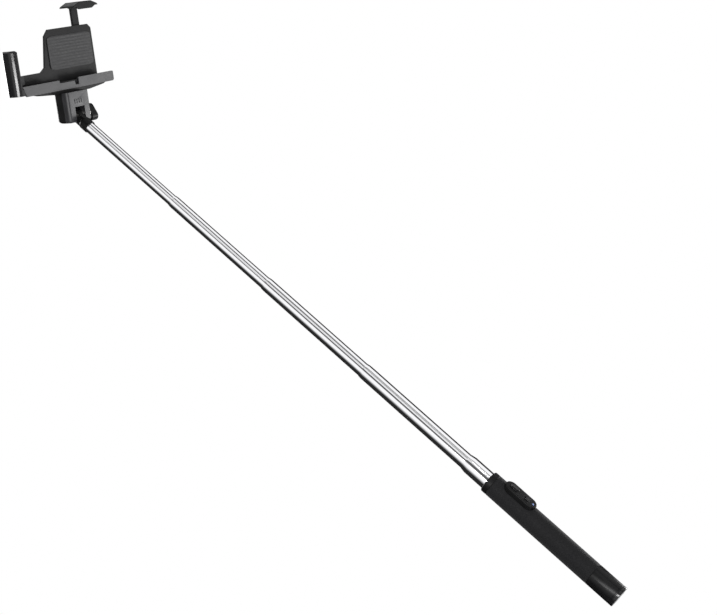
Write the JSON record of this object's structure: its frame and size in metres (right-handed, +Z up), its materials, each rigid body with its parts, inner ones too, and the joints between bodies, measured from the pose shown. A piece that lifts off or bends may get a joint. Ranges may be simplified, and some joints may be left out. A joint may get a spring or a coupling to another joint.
{
  "type": "selfie stick",
  "caption": "Telescopic selfie stick with a padded Bluetooth handle, a steel tube pole and a tilting phone holder with a spring-loaded top jaw.",
  "frame": {"origin": "centre of the handle's flat bottom face", "axes": "+Z up the pole towards the phone holder, -Y the side of the shutter button and of the phone's screen, +X the side of the tilt knob"},
  "size_m": [0.1385, 0.0965, 0.7841],
  "materials": {
    "steel_tube": "polished stainless steel",
    "bright_bush": "nickel plated",
    "steel_fastener": "black zinc",
    "grip_foam": "fine matte foam",
    "satin_black": "satin moulded",
    "gloss_black": "gloss moulded",
    "lip_black": "fine spark texture",
    "pad_rubber": "matte",
    "sleeve_plastic": "natural acetal",
    "circuit_board": "solder mask",
    "switch_body": "moulded",
    "socket_metal": "tinned",
    "lamp_lens": "clear tinted",
    "cell_wrap": "shrink wrap",
    "lead_ribbon": "polyimide film"
  },
  "bodies": {
    "handle": {"base_plug": "gloss_black", "end_cap": "gloss_black", "end_cap_screw": "steel_fastener", "handle_core": "satin_black", "bump_stop": "pad_rubber", "grip_sleeve": "grip_foam", "top_collar": "satin_black", "control_pod": "satin_black", "control_board": "circuit_board", "tact_switch": "switch_body", "power_switch": "switch_body", "status_led": "lamp_lens", "wiring_ribbon": "lead_ribbon", "battery_cell": "cell_wrap", "cell_cradle": "switch_body", "charge_board": "circuit_board", "charging_socket": "socket_metal", "tube_0": "steel_tube"},
    "shutter_button": {"shutter_button": "gloss_black"},
    "power_slider": {"power_slider": "gloss_black"},
    "section_1": {"tube_1": "steel_tube", "friction_sleeve_1": "sleeve_plastic", "foot_plug_1": "switch_body"},
    "section_2": {"tube_2": "steel_tube", "friction_sleeve_2": "sleeve_plastic", "foot_plug_2": "switch_body"},
    "section_3": {"tube_3": "steel_tube", "friction_sleeve_3": "sleeve_plastic", "foot_plug_3": "switch_body"},
    "section_4": {"tube_4": "steel_tube", "friction_sleeve_4": "sleeve_plastic", "foot_plug_4": "switch_body", "neck_fitting": "satin_black"},
    "holder": {"housing_shell": "lip_black", "housing_cover": "satin_black", "housing_screws": "steel_fastener", "clamp_nut": "steel_fastener", "pivot_spacers": "bright_bush", "tray": "lip_black", "tray_screws": "steel_fastener", "belly_cover": "satin_black", "back_plate": "satin_black", "plate_screws": "steel_fastener", "tray_pad": "pad_rubber", "back_pad": "pad_rubber", "end_stop": "gloss_black", "end_stop_pad": "pad_rubber", "guide_cover": "satin_black", "cover_screws": "steel_fastener", "spring_anchors": "steel_fastener", "jaw_springs": "bright_bush", "clamp_washer": "bright_bush"},
    "knob": {"clamp_screw": "steel_fastener", "tilt_knob": "satin_black"},
    "jaw": {"jaw_arm": "satin_black", "jaw_hook": "satin_black", "jaw_pad": "pad_rubber"}
  },
  "joints": [
    {"name": "shutter_press", "type": "slide", "parent": "handle", "child": "shutter_button", "axis": [0, 1, 0], "range_m": [0, 0.00035], "stiffness_N_per_m": 3000, "springref_m": -0.0005},
    {"name": "power_slide", "type": "slide", "parent": "handle", "child": "power_slider", "axis": [0, 0, 1], "range_m": [0, 0.0025]},
    {"name": "section_1_slide", "type": "slide", "parent": "handle", "child": "section_1", "axis": [0, 0, 1], "range_m": [-0.125, 0]},
    {"name": "section_2_slide", "type": "slide", "parent": "section_1", "child": "section_2", "axis": [0, 0, 1], "range_m": [-0.125, 0]},
    {"name": "section_3_slide", "type": "slide", "parent": "section_2", "child": "section_3", "axis": [0, 0, 1], "range_m": [-0.125, 0]},
    {"name": "section_4_slide", "type": "slide", "parent": "section_3", "child": "section_4", "axis": [0, 0, 1], "range_m": [-0.118, 0]},
    {"name": "holder_tilt", "type": "hinge", "parent": "section_4", "child": "holder", "pos_m": [0, 0, 0.702], "axis": [1, 0, 0], "range_deg": [-51.3, 38.7]},
    {"name": "jaw_slide", "type": "slide", "parent": "holder", "child": "jaw", "axis": [0, -0.7804, 0.6252], "range_m": [-0.012, 0.017], "deforming": ["jaw_springs"]},
    {"name": "knob_turn", "type": "hinge", "parent": "holder", "child": "knob", "pos_m": [0, 0, 0.702], "axis": [1, 0, 0], "range_deg": [0, 270]}
  ]
}
